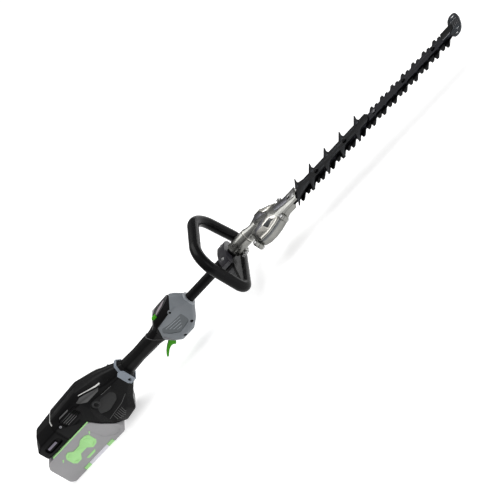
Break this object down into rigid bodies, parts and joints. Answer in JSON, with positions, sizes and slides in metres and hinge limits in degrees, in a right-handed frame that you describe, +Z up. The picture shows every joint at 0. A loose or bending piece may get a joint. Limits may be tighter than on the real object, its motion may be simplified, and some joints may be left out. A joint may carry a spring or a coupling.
{
  "type": "hedge trimmer",
  "caption": "Battery hedge trimmer: motor housing with slide-on battery, rear grip and trigger, short shaft, loop front handle, cast gear head and double-edged reciprocating blades.",
  "frame": {"origin": "on the plane under the battery, below the middle of the tool's length and width", "axes": "+X along the shaft towards the blade tip, +Y to the side away from the battery latch, +Z up, away from the underside of the battery"},
  "size_m": [1.426, 0.2214, 0.1953],
  "materials": {
    "housing_black": "fine-textured moulded black plastic",
    "panel_gloss": "polished black plastic",
    "cover_grey": "satin blue-grey moulded plastic",
    "cast_aluminium": "die-cast, lightly blasted",
    "bright_steel": "turned and zinc-plated steel",
    "blade_steel": "blackened hardened steel, ground edges",
    "signal_green": "satin bright green plastic",
    "pack_grey": "pale grey moulded plastic",
    "pack_green": "pale green moulded plastic",
    "copper": "wound copper in an iron core",
    "circuit_board": "coated circuit board",
    "strap_grey": "grey coated steel strap"
  },
  "bodies": {
    "housing": {"housing_left": "housing_black", "housing_right": "housing_black", "rear_cap": "housing_black", "vent_grille_left": "housing_black", "vent_grille_right": "housing_black", "harness_bracket": "strap_grey", "grip_left": "housing_black", "grip_right": "housing_black", "switch_core_left": "housing_black", "switch_core_right": "housing_black", "switch_cover_left": "cover_grey", "switch_cover_right": "cover_grey", "control_panel": "panel_gloss", "trigger_pin": "bright_steel", "microswitch": "housing_black", "shaft_tube": "housing_black", "tube_bush_front": "housing_black", "tube_bush_rear": "housing_black", "stator": "copper", "motor_bearing_front": "bright_steel", "motor_bearing_rear": "bright_steel", "controller_board": "circuit_board", "battery_terminal": "housing_black", "neck_clamp": "cast_aluminium", "clamp_screw_1": "bright_steel", "clamp_screw_2": "bright_steel", "gear_case_upper": "cast_aluminium", "gear_case_lower": "cast_aluminium", "case_bolt_1": "bright_steel", "case_bolt_2": "bright_steel", "case_bolt_3": "bright_steel", "case_bolt_4": "bright_steel", "neck_bearing": "bright_steel", "guide_bar": "blade_steel", "comb_guard": "blade_steel", "tip_guard": "cover_grey", "blade_bolt_1": "bright_steel", "blade_bolt_2": "bright_steel", "blade_bolt_3": "bright_steel", "blade_bolt_4": "bright_steel", "blade_bolt_5": "bright_steel"},
    "battery": {"battery_case": "pack_grey", "battery_rail": "pack_green", "battery_inlay_left": "pack_green", "battery_inlay_right": "pack_green"},
    "latch": {"battery_latch": "cover_grey"},
    "trigger": {"trigger": "signal_green"},
    "button": {"power_button": "signal_green"},
    "drive_line": {"drive_shaft": "bright_steel", "rotor": "bright_steel", "cooling_fan": "housing_black", "pinion": "bright_steel"},
    "crank": {"crank_gear": "bright_steel"},
    "blade_upper": {"blade_upper": "blade_steel"},
    "blade_lower": {"blade_lower": "blade_steel"},
    "handle": {"loop_handle": "housing_black", "handle_clamp": "housing_black", "handle_screw_left": "bright_steel", "handle_screw_right": "bright_steel"}
  },
  "joints": [
    {"name": "battery_slide", "type": "slide", "parent": "housing", "child": "battery", "axis": [-1, 0, 0], "range_m": [0, 0.13]},
    {"name": "latch_slide", "type": "slide", "parent": "housing", "child": "latch", "axis": [-1, 0, 0], "range_m": [0, 0.005], "stiffness_N_per_m": 400, "springref_m": -0.002},
    {"name": "trigger_pivot", "type": "hinge", "parent": "housing", "child": "trigger", "pos_m": [-0.26, 0, 0.061], "axis": [0, 1, 0], "range_deg": [0, 14], "stiffness_Nm_per_rad": 0.8, "springref_deg": -11.46},
    {"name": "button_push", "type": "slide", "parent": "housing", "child": "button", "axis": [0, 0, -1], "range_m": [0, 0.0015], "stiffness_N_per_m": 800, "springref_m": -0.001},
    {"name": "drive_spin", "type": "hinge", "parent": "housing", "child": "drive_line", "pos_m": [-0.228, 0, 0.09], "axis": [1, 0, 0], "continuous": true},
    {"name": "crank_spin", "type": "hinge", "parent": "housing", "child": "crank", "pos_m": [0.097, 0, 0.075], "axis": [0, 0, 1], "continuous": true},
    {"name": "blade_upper_slide", "type": "slide", "parent": "housing", "child": "blade_upper", "axis": [1, 0, 0], "range_m": [-0.00215, 0.01435]},
    {"name": "blade_lower_slide", "type": "slide", "parent": "housing", "child": "blade_lower", "axis": [1, 0, 0], "range_m": [-0.01435, 0.00215]},
    {"name": "handle_slide", "type": "slide", "parent": "housing", "child": "handle", "axis": [1, 0, 0], "range_m": [-0.07, 0]}
  ],
  "couplings": [
    {"joint": "crank_spin", "follows": "drive_spin", "ratio": -0.33333},
    {"joint": "blade_lower_slide", "follows": "blade_upper_slide", "ratio": -1}
  ]
}
